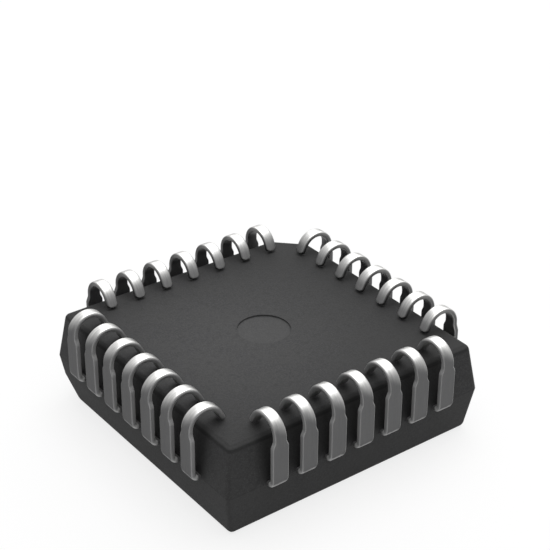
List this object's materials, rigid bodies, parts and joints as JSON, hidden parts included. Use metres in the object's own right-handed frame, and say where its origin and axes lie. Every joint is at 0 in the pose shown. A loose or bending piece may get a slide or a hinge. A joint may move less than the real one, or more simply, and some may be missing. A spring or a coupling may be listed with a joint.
{
  "type": "logic chip",
  "caption": "Square logic chip in a moulded plastic chip carrier, with J-shaped leads along all its sides, a cut corner and a bevelled edge that marks pin 1.",
  "frame": {"origin": "centre of the marked face, on which the chip lies", "axes": "+Z from the marked face to the seating plane of the leads; +Y towards the bevelled pin 1 side; +X towards the side of pins 5 to 11, with the cut corner between +X and +Y"},
  "size_m": [0.0124, 0.0124, 0.0045],
  "materials": {
    "moulded_epoxy": "matt, fine grain from the mould",
    "tinned_leads": "satin tin plating over copper alloy",
    "bare_lead_frame": "bare copper alloy sheet",
    "die_adhesive": "silver-filled epoxy",
    "silicon": "polished, with a fine pattern",
    "gold_wire": "bright gold wire"
  },
  "bodies": {
    "root": {"moulded_body": "moulded_epoxy", "lead_01": "tinned_leads", "lead_02": "tinned_leads", "lead_03": "tinned_leads", "lead_04": "tinned_leads", "lead_05": "tinned_leads", "lead_06": "tinned_leads", "lead_07": "tinned_leads", "lead_08": "tinned_leads", "lead_09": "tinned_leads", "lead_10": "tinned_leads", "lead_11": "tinned_leads", "lead_12": "tinned_leads", "lead_13": "tinned_leads", "lead_14": "tinned_leads", "lead_15": "tinned_leads", "lead_16": "tinned_leads", "lead_17": "tinned_leads", "lead_18": "tinned_leads", "lead_19": "tinned_leads", "lead_20": "tinned_leads", "lead_21": "tinned_leads", "lead_22": "tinned_leads", "lead_23": "tinned_leads", "lead_24": "tinned_leads", "lead_25": "tinned_leads", "lead_26": "tinned_leads", "lead_27": "tinned_leads", "lead_28": "tinned_leads", "wire_01": "gold_wire", "wire_02": "gold_wire", "wire_03": "gold_wire", "wire_04": "gold_wire", "wire_05": "gold_wire", "wire_06": "gold_wire", "wire_07": "gold_wire", "wire_08": "gold_wire", "wire_09": "gold_wire", "wire_10": "gold_wire", "wire_11": "gold_wire", "wire_12": "gold_wire", "wire_13": "gold_wire", "wire_14": "gold_wire", "wire_15": "gold_wire", "wire_16": "gold_wire", "wire_17": "gold_wire", "wire_18": "gold_wire", "wire_19": "gold_wire", "wire_20": "gold_wire", "wire_21": "gold_wire", "wire_22": "gold_wire", "wire_23": "gold_wire", "wire_24": "gold_wire", "wire_25": "gold_wire", "wire_26": "gold_wire", "wire_27": "gold_wire", "wire_28": "gold_wire", "die_paddle": "bare_lead_frame", "die_attach": "die_adhesive", "silicon_die": "silicon"}
  },
  "joints": []
}
